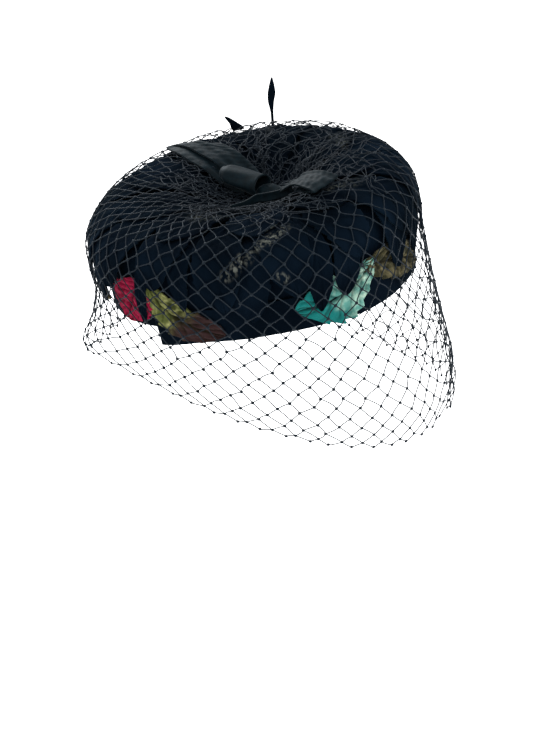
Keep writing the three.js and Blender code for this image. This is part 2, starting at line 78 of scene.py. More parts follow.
class HatForm(bpy.types.PropertyGroup):
    """The crown, its band and the layers of leaves over it"""

    crown_length: length_prop("Crown length", "Front to back, over the cloth", 0.182)
    crown_width: length_prop("Crown width", "Side to side, over the cloth", 0.152)
    crown_height: length_prop("Crown height", "Top of the cloth over the lower edge's plane", 0.060)
    crown_wall: length_prop("Crown wall", "Thickness of the covered crown", 0.0022)
    lower_edge: length_prop("Crown's lower edge", "Height of the crown's edge inside the band", 0.0075)
    hollow_forward: length_prop("Hollow forward", "How far the hollow lies before the middle", 0.013)
    hollow_sideways: length_prop("Hollow sideways", "How far the hollow lies to the right", 0.003)
    lean: FloatProperty(name="Lean", description="Fall of the top towards the wearer's right", default=0.17)
    band_height: length_prop("Band height", "Height of the band round the lower edge", 0.020)
    band_lift: length_prop("Band lift", "Gap between crown and band", 0.0007)
    band_wall: length_prop("Band wall", "Thickness of the folded band", 0.0013)
    band_end: FloatProperty(
        name="Band end", description="Turn at which the band stops", subtype="ANGLE",
        default=math.radians(-40),
    )
    band_dip: length_prop("Band dip", "How far the band hangs lower before the right side", 0.0032)
    band_droop: length_prop("Band droop", "How far the band sinks towards its ends", 0.0030)
    leaf_wall: length_prop("Leaf thickness", "Thickness of a velvet leaf", 0.0010)
    layer_gap: length_prop("Layer gap", "Air between two layers of leaves", 0.0009)


class VeilForm(bpy.types.PropertyGroup):
    """The net veil"""

    thread: length_prop("Thread", "Thickness of the net's thread", 0.00066)
    knot: length_prop("Knot", "Width of a knot", 0.0022)
    columns: IntProperty(name="Meshes round", description="Meshes counted round the hat", default=50)
    clearance: length_prop("Clearance", "Air between the leaves and the net", 0.0008)
    front_drop: length_prop("Front drop", "How far the veil hangs below the lower edge in front", 0.094)
    back_drop: length_prop("Back drop", "How far the veil hangs below the lower edge behind", 0.020)
    flare: length_prop("Flare", "How far the hanging veil stands out", 0.007)
    sag: length_prop("Sag", "How much lower the hem lies on the right side", 0.003)
    gather: length_prop("Gather", "Radius of the gather round the knot", 0.011)


class BowForm(bpy.types.PropertyGroup):
    """The ribbon bow"""

    width: length_prop("Ribbon width", "Width of the ribbon", 0.023)
    wall: length_prop("Ribbon thickness", "Thickness of the ribbon", 0.0009)
    root: length_prop("Root", "Distance from the middle at which the ribbons leave the knot", 0.016)
    knot_height: length_prop("Knot height", "Height of the knot", 0.0115)
    tail_height: length_prop("Tail height", "Height of the narrow end that stands on its edge", 0.0050)


class Colours(bpy.types.PropertyGroup):
    """The colours of cloth and thread"""

    velvet: colour_prop("Black velvet", "Ground of the black velvet", (0.0012, 0.0030, 0.0058))
    sheen: colour_prop("Velvet sheen", "Light on the velvet's pile", (0.22, 0.38, 0.52))
    dust: colour_prop("Dust", "Worn and dusty velvet", (0.170, 0.180, 0.155))
    ribbon: colour_prop("Ribbon", "Ground of the bow's ribbon", (0.0012, 0.0040, 0.0058))
    thread: colour_prop("Thread", "Thread of the net", (0.006, 0.011, 0.017))
    red: colour_prop("Crimson", "Crimson leaves", (0.26, 0.006, 0.036))
    green: colour_prop("Green", "Olive-green leaves", (0.105, 0.125, 0.034))
    teal: colour_prop("Turquoise", "Turquoise leaves", (0.012, 0.215, 0.200))
    olive: colour_prop("Brown olive", "Brown-olive leaves", (0.030, 0.030, 0.015))
    plum: colour_prop("Plum", "Purple-brown tips", (0.040, 0.020, 0.020))
    mint: colour_prop("Mint", "Pale upper parts of the turquoise leaves", (0.12, 0.34, 0.29))


class StageForm(bpy.types.PropertyGroup):
    """Camera, floor and light"""

    camera_at: FloatVectorProperty(
        name="Camera", description="Place of the camera", unit="LENGTH", size=3,
        default=(-0.6620, -0.0579, 0.2819),
    )
    lens: FloatProperty(name="Lens", description="Focal length in millimetres", default=58.93)
    floor_at: length_prop("Floor", "Height of the floor", -0.230)
    floor: colour_prop("Floor colour", "Pale floor", (0.90, 0.90, 0.90))


def settings():
    return bpy.context.scene.pillbox_hat


class HatSettings(bpy.types.PropertyGroup):
    """Every size and colour of the hat"""

    form: PointerProperty(type=HatForm)
    veil: PointerProperty(type=VeilForm)
    bow: PointerProperty(type=BowForm)
    colours: PointerProperty(type=Colours)
    stage: PointerProperty(type=StageForm)


# Surfaces

# The crown's outline from the middle of its hollow to its lower edge: share of the half length out, and
# share of the height up from the lower edge
CROWN_OUTLINE = np.array(
    [
        (0.0, 0.78), (0.16, 0.80), (0.33, 0.87), (0.5, 0.96), (0.64, 1.0), (0.76, 0.99),
        (0.85, 0.965), (0.93, 0.885), (0.98, 0.745), (1.0, 0.45), (0.99, 0.2), (0.985, 0.0),
    ]
)
# How many points the outline's line is worked out at
OUTLINE_POINTS = 3000
# The share of the half length past which the rings no longer follow the hollow
FOLLOW_OUT = 0.9
# The runs over which the side leaves, the top leaves and the veil rise over what they cover
SIDE_RISE = (0.52, 0.70)
TOP_RISE = (0.18, 0.40)
VEIL_RISE = (0.12, 0.34)
PIECE_GAP = 0.00035
# The step in turn and run over which the cloth's slopes are taken
SLOPE_STEP = 1e-3
UP = np.array([0, 0, 1.0])


def smooth(x, low, high):
    t = np.clip((np.asarray(x, float) - low) / (high - low), 0, 1)
    return t * t * (3 - 2 * t)


def mix(a, b, t):
    return a + (b - a) * t


def through(points, count):
    """Points on the smooth line through a table's rows: a Catmull-Rom spline with its ends repeated."""
    points = np.asarray(points, float)
    t = np.linspace(0, len(points) - 1, count)
    i = np.minimum(t.astype(int), len(points) - 2)
    w = (t - i)[:, None]
    before, start = points[np.maximum(i - 1, 0)], points[i]
    end, after = points[i + 1], points[np.minimum(i + 2, len(points) - 1)]
    leave, arrive = (end - before) / 2, (after - start) / 2
    way = end - start
    return ((leave + arrive - 2 * way) * w + 3 * way - 2 * leave - arrive) * w * w + leave * w + start


class Crown:
    """The crown's cloth as a function of turn and run, both arrays."""

    def __init__(self, form):
        self.form = form
        self.half = form.crown_length / 2
        self.share = form.crown_width / form.crown_length
        line = through(CROWN_OUTLINE, OUTLINE_POINTS)
        self.out = line[:, 0] * self.half
        self.up = line[:, 1]
        height = self.up * (form.crown_height - form.lower_edge)
        steps = np.hypot(np.diff(self.out), np.diff(height))
        self.way = np.concatenate([[0], np.cumsum(steps)])
        self.length = self.way[-1]

    def cloth(self, turn, run):
        """An ellipse of the outline's radius at each run, moved towards the hollow, its height leaning."""
        form, way = self.form, np.clip(run, 0, 1) * self.length
        out, up = np.interp(way, self.way, self.out), np.interp(way, self.way, self.up)
        follow = 1 - smooth(out / self.half, 0, FOLLOW_OUT)
        x = -self.share * out * np.cos(turn) - form.hollow_sideways * follow
        y = -out * np.sin(turn) - form.hollow_forward * follow
        z = mix(form.lower_edge, form.crown_height, up) + form.lean * x * up
        return np.stack(np.broadcast_arrays(x, y, z), -1)

    def normal(self, turn, run):
        """The unit cross product of the cloth's two slopes."""
        step = SLOPE_STEP
        near = np.clip(run, 0.01, 1 - step)
        down = self.cloth(turn, near + step) - self.cloth(turn, near - step)
        across = self.cloth(turn + step, near) - self.cloth(turn - step, near)
        return unit(np.cross(down, across))

    def at(self, turn, run, lift):
        """The cloth's point moved out along its normal, and straight down past the lower edge."""
        turn, run, lift = np.broadcast_arrays(turn, run, lift)
        point = self.cloth(turn, run) + self.normal(turn, run) * lift[..., None]
        point[..., 2] -= np.maximum(0, run - 1) * self.length
        return point

    def radius(self, turn, run):
        """Metres in a radian of turn."""
        step = SLOPE_STEP
        across = self.cloth(turn + step, run) - self.cloth(turn - step, run)
        return np.linalg.norm(across, axis=-1) / (2 * step)


def unit(v):
    return v / np.maximum(np.linalg.norm(v, axis=-1, keepdims=True), 1e-12)


def coloured_lift(form):
    """The coloured leaves' underside: just clear of the band."""
    return form.band_lift + form.band_wall + PIECE_GAP


def side_lift(form, run, above):
    """The underside of the side leaves: from the crown up over the coloured ones, by layers above."""
    step = form.leaf_wall + form.layer_gap
    return mix(form.band_lift, coloured_lift(form) + step, smooth(run, *SIDE_RISE)) + above * step


def top_lift(form, run):
    """The underside of the top leaves: from the crown up over the side leaves."""
    return mix(form.band_lift, side_lift(form, run, 2), smooth(run, *TOP_RISE))


def veil_lift(hat, run):
    """The veil's lift: from the crown at the gather up over all the leaves."""
    form, step = hat.form, hat.form.leaf_wall + hat.form.layer_gap
    outer = coloured_lift(form) + 2 * step + form.leaf_wall + hat.veil.clearance
    inner = form.band_lift + form.leaf_wall + hat.veil.clearance
    return mix(inner, outer, smooth(run, *VEIL_RISE))


WAVES = 5


def wobble(x, y, seed):
    """A smooth uneven field of x and y between about -1 and 1: a sum of sines in seeded directions."""
    rng = np.random.default_rng(seed)
    total = 0
    for k in range(WAVES):
        angle, phase = rng.uniform(0, 2 * math.pi), rng.uniform(0, 2 * math.pi)
        pace = 1.0 + 0.55 * k
        total = total + np.sin(pace * (x * math.cos(angle) + y * math.sin(angle)) + phase) / (1 + 0.4 * k)
    return total / 2.2


# Meshes

def mesh_object(name, points, faces, uv=None):
    """A mesh object from an array of points and an array of faces with the same number of corners."""
    mesh = bpy.data.meshes.new(name)
    faces = np.asarray(faces, np.int32)
    sides = faces.shape[1]
    mesh.vertices.add(len(points))
    mesh.vertices.foreach_set("co", np.ascontiguousarray(points, np.float32).ravel())
    mesh.loops.add(faces.size)
    mesh.loops.foreach_set("vertex_index", faces.ravel())
    mesh.polygons.add(len(faces))
    mesh.polygons.foreach_set("loop_start", np.arange(0, faces.size, sides, dtype=np.int32))
    mesh.polygons.foreach_set("use_smooth", np.ones(len(faces), bool))
    mesh.update(calc_edges=True)
    if uv is not None:
        layer = mesh.uv_layers.new(name="UVMap")
        layer.data.foreach_set("uv", np.ascontiguousarray(uv[faces.ravel()], np.float32).ravel())
    mesh.validate()
    piece = bpy.data.objects.new(name, mesh)
    bpy.context.scene.collection.objects.link(piece)
    return piece


def grid_faces(rows, columns, wrap=False):
    """Corner numbers of the quads of a grid of points, rows by columns."""
    i, j = np.meshgrid(np.arange(rows - 1), np.arange(columns if wrap else columns - 1), indexing="ij")
    here, beside = i * columns + j, i * columns + (j + 1) % columns
    return np.stack([here, beside, beside + columns, here + columns], -1).reshape(-1, 4)


def slab(outer, inner, wrap=False):
    """A closed sheet between two grids of points: both faces, and walls along every free edge."""
    rows, columns = outer.shape[:2]
    count = rows * columns
    face = grid_faces(rows, columns, wrap)
    faces = [face, face[:, ::-1] + count]
    top, bottom = np.arange(columns), (rows - 1) * columns + np.arange(columns)
    if wrap:
        top, bottom = np.append(top, top[0]), np.append(bottom, bottom[0])
    edges = [top[::-1], bottom]
    if not wrap:
        left, right = np.arange(rows) * columns, np.arange(rows) * columns + columns - 1
        edges += [left, right[::-1]]
    for edge in edges:
        a, b = edge[:-1], edge[1:]
        faces.append(np.stack([b, a, a + count, b + count], -1)[:, ::-1])
    points = np.concatenate([outer.reshape(-1, 3), inner.reshape(-1, 3)])
    return points, np.concatenate(faces)


def face_outwards(piece):
    """Turns a closed mesh's faces out, after merging doubled points."""
    work = bmesh.new()
    work.from_mesh(piece.data)
    bmesh.ops.remove_doubles(work, verts=work.verts, dist=1e-6)
    bmesh.ops.recalc_face_normals(work, faces=work.faces)
    work.to_mesh(piece.data)
    work.free()


def sheet_normals(middle):
    """Unit normals of a grid of points, from its slopes along rows and columns."""
    return unit(np.cross(np.gradient(middle, axis=0), np.gradient(middle, axis=1)))


def grid_uv(rows, columns):
    u, v = np.meshgrid(np.linspace(0, 1, columns), np.linspace(0, 1, rows))
    return np.stack([u, v], -1).reshape(-1, 2)


def ball_grid(sides, rings):
    """Turn and height angles over a ball, and its points: the cosines and the sine of both."""
    around = np.linspace(0, 2 * np.pi, sides, endpoint=False)
    turn, up = np.meshgrid(around, np.linspace(-np.pi / 2, np.pi / 2, rings))
    return turn, up, np.stack([np.cos(up) * np.cos(turn), np.cos(up) * np.sin(turn), np.sin(up)], -1)


def add_cloth(name, outer, inner, slot, nodes, wrap=False):
    """A closed piece of cloth from its two faces, riding on the hat."""
    points, faces = slab(outer, inner, wrap)
    uv = grid_uv(*outer.shape[:2])
    piece = mesh_object(name, points, faces, np.concatenate([uv, uv]))
    face_outwards(piece)
    return finish_piece(piece, slot, nodes)


def cloth_about(name, middle, thickness, slot, node):
    """A closed piece of cloth with half its thickness on each side of a grid of points."""
    half = sheet_normals(middle) * thickness / 2
    return add_cloth(name, middle + half, middle - half, slot, [node])


def finish_piece(piece, slot, nodes=()):
    """Gives a piece its slot's material and the body that it rides on, in place of the given nodes."""
    piece.data.materials.append(material(slot))
    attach(piece, BODY)
    if nodes:
        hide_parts(*nodes)
    return piece


# Materials

BLACK, WHITE = (0, 0, 0), (1, 1, 1)
# How each cloth takes light: sheen, the sheen's tint, roughness, the sheen's roughness, and specular
LEAF_LIGHT = (0.05, (1.0, 0.96, 0.9), 0.9, 0.5, 0.03)
RIBBON_LIGHT = (0.06, (0.62, 0.70, 0.80), 0.60, 0.35, 0.07)
NET_LIGHT = (0.03, (0.8, 0.9, 1.0), 0.60, 0.5, 0.12)
# The velvet has its sheen's tint among the hat's colours
VELVET_SHEEN, VELVET_LIGHT = 0.055, (0.95, 0.35, 0.01)


def feed(socket, value):
    """Links a socket to another node's output, or sets its own value."""
    if isinstance(value, bpy.types.NodeSocket):
        socket.id_data.links.new(value, socket)
    elif socket.type == "RGBA":
        socket.default_value = (*value, 1)
    else:
        socket.default_value = value


def add_node(nodes, kind, inputs=(), **setup):
    """A node with its settings and its fed sockets, each by its name or number."""
    node = nodes.new(kind)
    for name, value in setup.items():
        setattr(node, name, value)
    for key, value in dict(inputs).items():
        feed(node.inputs[key], value)
    return node


def ramp(nodes, fac, low_at, high_at, low=BLACK, high=WHITE):
    """One colour below a value and another above a second one, even between them."""
    node = add_node(nodes, "ShaderNodeValToRGB", {"Fac": fac})
    for element, at, rgb in zip(node.color_ramp.elements, (low_at, high_at), (low, high)):
        element.position, element.color = at, (*rgb, 1)
    return node.outputs["Color"]


def noise(nodes, scale, detail, stretch=(1, 1, 1)):
    """A noise over the object's own coordinates, drawn out along the given axes."""
    where = add_node(nodes, "ShaderNodeTexCoord").outputs["Object"]
    mapped = add_node(nodes, "ShaderNodeMapping", {"Vector": where, "Scale": stretch}).outputs["Vector"]
    inputs = {"Vector": mapped, "Scale": scale, "Detail": detail}
    return add_node(nodes, "ShaderNodeTexNoise", inputs).outputs["Fac"]


def sums(nodes, operation, a, b):
    return add_node(nodes, "ShaderNodeMath", {0: a, 1: b}, operation=operation).outputs[0]


def smooth_range(nodes, value, low, high, at_low=0, at_high=1):
    """A smooth step between two numbers as a value goes from low to high."""
    inputs = {"Value": value, "From Min": low, "From Max": high, "To Min": at_low, "To Max": at_high}
    node = add_node(nodes, "ShaderNodeMapRange", inputs, interpolation_type="SMOOTHSTEP")
    return node.outputs["Result"]


def near_line(nodes, start, end, width):
    """1 on the line between two points and 0 past the width, by the distance to its nearest point."""
    where = add_node(nodes, "ShaderNodeTexCoord").outputs["Object"]
    start, way = Vector(start), Vector(end) - Vector(start)

    def vector(operation, a, b, second=1):
        return add_node(nodes, "ShaderNodeVectorMath", {0: a, second: b}, operation=operation).outputs

    offset = vector("SUBTRACT", where, start)["Vector"]
    along = vector("DOT_PRODUCT", offset, way)["Value"]
    share = add_node(nodes, "ShaderNodeClamp", {"Value": sums(nodes, "DIVIDE", along, way.length_squared)})
    nearest = vector("SCALE", way, share.outputs[0], "Scale")["Vector"]
    return smooth_range(nodes, vector("DISTANCE", offset, nearest)["Value"], 0, width, 1, 0)


def blend(nodes, fac, a, b):
    """The first colour mixed towards the second by the factor."""
    node = add_node(nodes, "ShaderNodeMix", {"Factor": fac}, data_type="RGBA")
    for socket, value in zip([s for s in node.inputs if s.type == "RGBA"], (a, b)):
        feed(socket, value)
    return next(s for s in node.outputs if s.type == "RGBA")


def cloth_material(name, sheen, tint, roughness, sheen_roughness, specular):
    """A cloth's material, its nodes and its shader with its own gloss and sheen."""
    made = bpy.data.materials.new(name)
    made.use_nodes = True
    nodes = made.node_tree.nodes
    shader = nodes["Principled BSDF"]
    for key, value in {
        "Roughness": roughness, "Specular IOR Level": specular, "Sheen Weight": sheen,
        "Sheen Roughness": sheen_roughness, "Sheen Tint": tint,
    }.items():
        feed(shader.inputs[key], value)
    return made, nodes, shader


def bump(nodes, shader, height, distance, strength):
    inputs = {"Height": height, "Distance": distance, "Strength": strength}
    feed(shader.inputs["Normal"], add_node(nodes, "ShaderNodeBump", inputs).outputs["Normal"])


# The worn strips of the black velvet: turn in degrees and run at both ends, half width, and how worn
WORN = [
    ((17.0, 0.545), (9.0, 0.595), 0.0065, 1.4),
    ((13.0, 0.570), (-4.0, 0.672), 0.0046, 0.8),
    ((2.0, 0.650), (-8.0, 0.705), 0.0050, 0.55),
    ((9.5, 0.740), (11.0, 0.760), 0.0035, 0.80),
    ((-22.0, 0.300), (-8.0, 0.290), 0.0060, 0.9),
    ((52.0, 0.44), (66.0, 0.52), 0.0075, 0.45),
    ((-38.0, 0.36), (-22.0, 0.33), 0.0120, 0.40),
    ((110.0, 0.47), (124.0, 0.50), 0.0070, 0.45),
]
# The lift at which the strips run
WORN_LIFT = 0.008


def velvet_material():
    """Black pile that catches light at grazing angles, with brushed streaks and a few worn strips."""
    light = (VELVET_SHEEN, colour("sheen"), *VELVET_LIGHT)
    made, nodes, shader = cloth_material("brushed_black_velvet", *light)
    crown = Crown(settings().form)
    streaks = noise(nodes, 90, 4, (1, 1, 0.35))
    velvet = colour("velvet")
    ground = blend(nodes, ramp(nodes, noise(nodes, 22, 3), 0.42, 0.72), velvet, shade(velvet, 2.4))
    worn = 0.0
    for *ends, width, strength in WORN:
        start, end = (crown.at(math.radians(turn), run, WORN_LIFT) for turn, run in ends)
        here = sums(nodes, "MULTIPLY", near_line(nodes, start, end, width), strength)
        worn = sums(nodes, "MAXIMUM", worn, here)
    patchy = ramp(nodes, noise(nodes, 520, 6, (1, 1, 0.5)), 0.46, 0.62)
    amount = sums(nodes, "MULTIPLY", worn, patchy)
    feed(shader.inputs["Base Color"], blend(nodes, amount, ground, colour("dust")))
    bump(nodes, shader, streaks, 0.0011, 0.6)
    return made


def ribbon_material():
    """Close black ribbon velvet: a smooth ground with soft light over its folds."""
    made, nodes, shader = cloth_material("black_ribbon_velvet", *RIBBON_LIGHT)
    grain = noise(nodes, 340, 4)
    ribbon = colour("ribbon")
    feed(shader.inputs["Base Color"], ramp(nodes, grain, 0.3, 0.7, ribbon, shade(ribbon, 2.2)))
    bump(nodes, shader, grain, 0.0003, 0.5)
    return made


def net_material():
    """Plain dark thread with a faint sheen."""
    made, _, shader = cloth_material("net_thread", *NET_LIGHT)
    feed(shader.inputs["Base Color"], colour("thread"))
    return made


def leaf_material(name, dark, pale, tip, highlight_amount):
    """Dyed velvet: dark along the pressed veins, pale over the swells and of another colour at the tip.

    The leaf's mesh holds two numbers a point: how deep it is pressed, and how far along the leaf it lies.
    """
    # the dye's colours, with painted shade in the veins and a painted highlight on the bumps
    made, nodes, shader = cloth_material(f"{name}_dyed_velvet", *LEAF_LIGHT)
    ground, deep = colour(name), shade(colour(name), dark)
    pressed, along = (
        add_node(nodes, "ShaderNodeAttribute", attribute_name=label).outputs["Fac"]
        for label in ("pressed", "along")
    )
    mottle, blot = noise(nodes, 210, 5), noise(nodes, 75, 3)
    shown = blend(nodes, ramp(nodes, blot, 0.38, 0.66), ground, deep)
    # painted highlight: the pale colour laid over the raised mottle that also drives the bump
    painted_highlight = sums(nodes, "MULTIPLY", ramp(nodes, mottle, 0.45, 0.72), highlight_amount)
    shown = blend(nodes, painted_highlight, shown, pale)
    if tip:
        uneven = sums(nodes, "MULTIPLY", sums(nodes, "SUBTRACT", blot, 0.5), 0.5)
        edge = smooth_range(nodes, sums(nodes, "ADD", along, uneven), 0.48, 0.74)
        tip_shown = blend(nodes, sums(nodes, "MULTIPLY", blot, 0.8), colour(tip), shade(colour(tip), 0.35))
        shown = blend(nodes, edge, shown, tip_shown)
    # painted shade: the pressed veins darkened towards a deep shade of the colour
    shown = blend(nodes, sums(nodes, "MULTIPLY", pressed, 0.9), shown, shade(deep, 0.16))
    feed(shader.inputs["Base Color"], shown)
    bump(nodes, shader, mottle, 0.0014, 0.8)
    return made


def colour(name):
    return tuple(getattr(settings().colours, name))


def shade(rgb, amount):
    return tuple(amount * c for c in rgb)


def dyed(*row):
    return lambda: leaf_material(*row)


# What makes each slot's material. A dyed one has its colour, how dark its blots and its painted vein shade
# are, the colour of its painted highlight, its tip's colour and how much painted highlight it has.
MAKERS = {
    "black_velvet": velvet_material,
    "ribbon": ribbon_material,
    "net": net_material,
    "red_velvet": dyed("red", 0.42, (0.46, 0.020, 0.075), None, 0.5),
    "green_velvet": dyed("green", 0.35, (0.34, 0.34, 0.13), "plum", 0.8),
    "teal_velvet": dyed("mint", 0.35, (0.60, 0.78, 0.62), "teal", 0.75),
    "olive_velvet": dyed("olive", 0.35, (0.17, 0.145, 0.075), None, 0.8),
}
made_materials = {}


def material(slot):
    """The material of a slot, made when it is first asked for."""
    if slot not in made_materials:
        made_materials[slot] = MAKERS[slot]()
    return made_materials[slot]


# Pieces

CROWN_TURNS, CROWN_RUNS, CROWN_ROUGHNESS = 168, 88, 0.00035


def crown_pieces():
    """The covered crown: a leaning dome that turns in at its hollow, by the outline's turn and run."""
    form = settings().form
    crown = Crown(form)
    around = np.linspace(0, 2 * np.pi, CROWN_TURNS, endpoint=False)
    turn, run = np.meshgrid(around, np.linspace(0, 1, CROWN_RUNS))
    rough = CROWN_ROUGHNESS * wobble(9 * turn, 30 * run, 3)
    shells = []
    for lift in (rough, rough - form.crown_wall):
        shell = crown.at(turn, run, lift)
        shell[-1, :, 2] = form.lower_edge
        shell[0] = shell[0].mean(axis=0)
        shells.append(shell)
    add_cloth("crown_cloth", *shells, "black_velvet", ["crown"], wrap=True)


BAND_TURNS, BAND_AROUND = 330, 44
# How square the fold of the band is, the height of its rucks, and the turn over which its ends sink
BAND_SQUARENESS, BAND_RUCK, BAND_SINKS = 0.28, 0.0003, 0.35
# Where the band hangs lower: middle and width in radians
BAND_DIP_TURN, BAND_DIP_WIDTH = math.radians(42), math.radians(24)


def band_piece():
    """The folded band: a strip whose section is a long round-ended loop, laid and lapped round the edge."""
    form = settings().form
    crown = Crown(form)
    start = form.band_end
    turn = np.linspace(start, math.pi - start, BAND_TURNS)
    around = np.linspace(0, 2 * np.pi, BAND_AROUND, endpoint=False)
    # the loop's height from 0 to 1 and its place from the inner face to the outer one
    height = 0.5 - 0.5 * np.cos(around)
    side = 0.5 + 0.5 * np.sign(np.sin(around)) * np.abs(np.sin(around)) ** BAND_SQUARENESS
    turns, heights = np.meshgrid(turn, height, indexing="ij")
    ruck = BAND_RUCK * wobble(26 * turns, 5 * heights, 11)
    z = form.band_height * heights
    run = 1 - np.maximum(0, z - form.lower_edge) / crown.length
    points = crown.at(turns, run, form.band_lift + side * form.band_wall + ruck)
    from_end = np.minimum(turns - start, math.pi - start - turns)
    dip = form.band_dip * np.exp(-(((turns - BAND_DIP_TURN) / BAND_DIP_WIDTH) ** 2))
    points[..., 2] = z - form.band_droop * (1 - smooth(from_end, 0, BAND_SINKS)) - dip
    flat, ends = points.reshape(-1, 3), points[[0, -1]].mean(axis=1)
    faces = grid_faces(BAND_TURNS, BAND_AROUND, wrap=True)
    caps = []
    for k, row in enumerate((0, BAND_TURNS - 1)):
        edge = row * BAND_AROUND + np.arange(BAND_AROUND)
        caps.append(np.stack([edge, np.roll(edge, -1), np.full(BAND_AROUND, len(flat) + k)], -1))
    triangles = np.concatenate([faces[:, [0, 1, 2]], faces[:, [0, 2, 3]], *caps])
    piece = mesh_object("band_folded", np.concatenate([flat, ends]), triangles)
    face_outwards(piece)
    finish_piece(piece, "black_velvet", ["rim_band"])


# Leaves

LEAF_ROWS, LEAF_COLUMNS = 56, 35
# The first seed of each kind of leaf
DYED_SEED, SIDE_SEED, TOP_SEED = 40, 80, 120
SIDE_VEINS = 7
MIDRIB_WIDTH, VEIN_WIDTH, VEIN_SLANT = 0.07, 0.10, 1.6


def leaf_breadth(along, fullness):
    """The share of a leaf's breadth along it: a sine's power, widest where the fullness puts it."""
    swell = np.maximum(0, np.sin(np.pi * along**fullness))
    return 0.06 + 0.94 * swell**0.75


def leaf_form(along, side, seed, teeth, relief, bite):
    """What shapes a leaf: the share of its breadth, how deep its veins are pressed, and its relief.

    The edge loses a share of its breadth in a row of teeth that lean to the tip. A midrib is pressed down
    the middle and side veins leave it at a slant, and the cloth swells between them.
    """
    rng = np.random.default_rng(seed)
    phase = rng.uniform(0, 1, 2)
    away = np.abs(side)
    tooth = np.mod(along * teeth + np.where(side < 0, phase[0], phase[1]), 1)
    edge = 1 - bite * tooth * np.sin(np.pi * along) ** 0.4
    midrib = np.exp(-((side / MIDRIB_WIDTH) ** 2))
    slant = along * SIDE_VEINS - away * VEIN_SLANT + np.where(side < 0, 0.0, 0.45)
    gap = np.abs(np.mod(slant, 1) - 0.5)
    vein = np.exp(-(((0.5 - gap) / VEIN_WIDTH) ** 2)) * (1 - away**3) * smooth(along, 0.04, 0.16)
    pressed = np.clip(midrib + 0.75 * vein, 0, 1)
    swell = np.cos(np.pi * (np.mod(slant, 1) - 0.5)) ** 2
    crinkle = wobble(11 * along, 8 * side, seed + 5)
    return edge, pressed, relief * (0.55 * swell * (1 - pressed) + 0.5 * crinkle - pressed)


def leaf_piece(word, node, slot, place, lift, seed, teeth, relief, curl=0.0006, bite=0.11):
    """A leaf over the crown: place(along, side) gives turn and run, and lift(run) its underside."""
    form = settings().form
    crown = Crown(form)
    along, side = np.meshgrid(
        np.linspace(0, 1, LEAF_ROWS), np.linspace(-1, 1, LEAF_COLUMNS), indexing="ij"
    )
    edge, pressed, height = leaf_form(along, side, seed, teeth, relief, bite)
    turn, run = place(along, side * edge)
    curled = curl * np.abs(side) ** 3 * (0.5 + 0.5 * wobble(7 * along, 2 * side, seed + 9))
    raised = lift(run) + height + curled
    outer = crown.at(turn, run, raised + form.leaf_wall)
    points, faces = slab(outer, crown.at(turn, run, raised))
    piece = mesh_object(node.replace("leaf", word), points, faces, np.tile(grid_uv(*along.shape), (2, 1)))
    for label, values in (("pressed", pressed), ("along", along)):
        data = piece.data.attributes.new(label, "FLOAT", "POINT")
        data.data.foreach_set("value", np.tile(values.ravel(), 2).astype(np.float32))
    face_outwards(piece)
    finish_piece(piece, slot, [node])


# The coloured leaves: dye, middle by turn in degrees and run, slant in degrees from straight down, length,
# half breadth and bend of the middle line as shares of the crown's height, and fullness
COLOURED_LEAVES = {
    "red_right": ("red", -48.5, 0.850, -30, 0.60, 0.27, 0.0, 1.0),
    "green_right": ("green", -26.0, 0.870, 44, 0.96, 0.23, -0.14, 1.3),
    "teal_right": ("teal", 28.5, 0.895, -70, 0.86, 0.31, 0.13, 1.2),
    "olive_right": ("olive", 56.5, 0.920, 66, 0.92, 0.22, 0.02, 1.0),
    "red_left": ("red", 103, 0.84, 12, 0.60, 0.25, 0.0, 0.9),
    "green_left": ("green", 130, 0.87, -46, 0.80, 0.20, 0.08, 0.9),
    "teal_left": ("teal", 182, 0.88, 66, 0.80, 0.24, -0.08, 0.9),
    "olive_left": ("olive", 213, 0.86, -50, 0.72, 0.21, 0.0, 0.9),
    "olive_back": ("olive", 277, 0.835, 35, 0.62, 0.22, 0.0, 0.9),
}


def coloured_leaves():
    """Leaves laid on the band and the crown's lower side, each turned by its slant about its middle."""
    form = settings().form
    crown = Crown(form)
    for index, (name, row) in enumerate(COLOURED_LEAVES.items()):
        dye, turn, run, slant, length, breadth, bend, fullness = row
        middle, lean = math.radians(turn), math.radians(slant)

        def place(along, side):
            across = side * breadth * form.crown_height * leaf_breadth(along, fullness)
            across = across + bend * form.crown_height * (1 - (2 * along - 1) ** 2)
            down = (along - 0.5) * length * form.crown_height
            there = run + (down * math.cos(lean) - across * math.sin(lean)) / crown.length
            spread = (down * math.sin(lean) + across * math.cos(lean)) / crown.radius(middle, there)
            return middle + spread, there

        leaf_piece(
            "dyed", f"leaf_{name}", f"{dye}_velvet", place,
            lambda r: coloured_lift(form), DYED_SEED + index, teeth=7, relief=0.0010, bite=0.20,
        )


# The black leaves of the side: a round of broad ones, by the runs that their points reach, over narrow
# ones, by turn in degrees, run of the point, half breadth as a share of the crown's height, slant in
# degrees and fullness
BROAD_TIPS = [0.76, 0.87, 0.86, 0.785, 0.80, 0.92, 0.88, 0.93, 0.90, 0.85, 0.92, 0.88, 0.93, 0.86, 0.80]
BROAD_FIRST, BROAD_BREADTH, BROAD_SLANT, BROAD_FULLNESS = -36, 0.235, 3, 0.95
UNDER_LEAVES = [
    (-36.5, 0.970, 0.065, -8, 1.2), (-27, 0.860, 0.11, 4, 0.95), (-2, 0.965, 0.24, 0, 0.95),
    (25.5, 0.990, 0.125, -5, 1.3), (37.5, 0.950, 0.135, -8, 1.8), (57, 0.950, 0.140, 0, 1.7),
    (74, 0.950, 0.17, -3, 0.95), (94, 0.930, 0.24, 3, 0.95), (142, 0.950, 0.24, -3, 0.95),
    (190, 0.930, 0.24, 3, 0.95), (238, 0.940, 0.24, -3, 0.95), (286, 0.930, 0.24, 3, 0.95),
]
# The run at which the side leaves start
SIDE_ROOT = 0.42


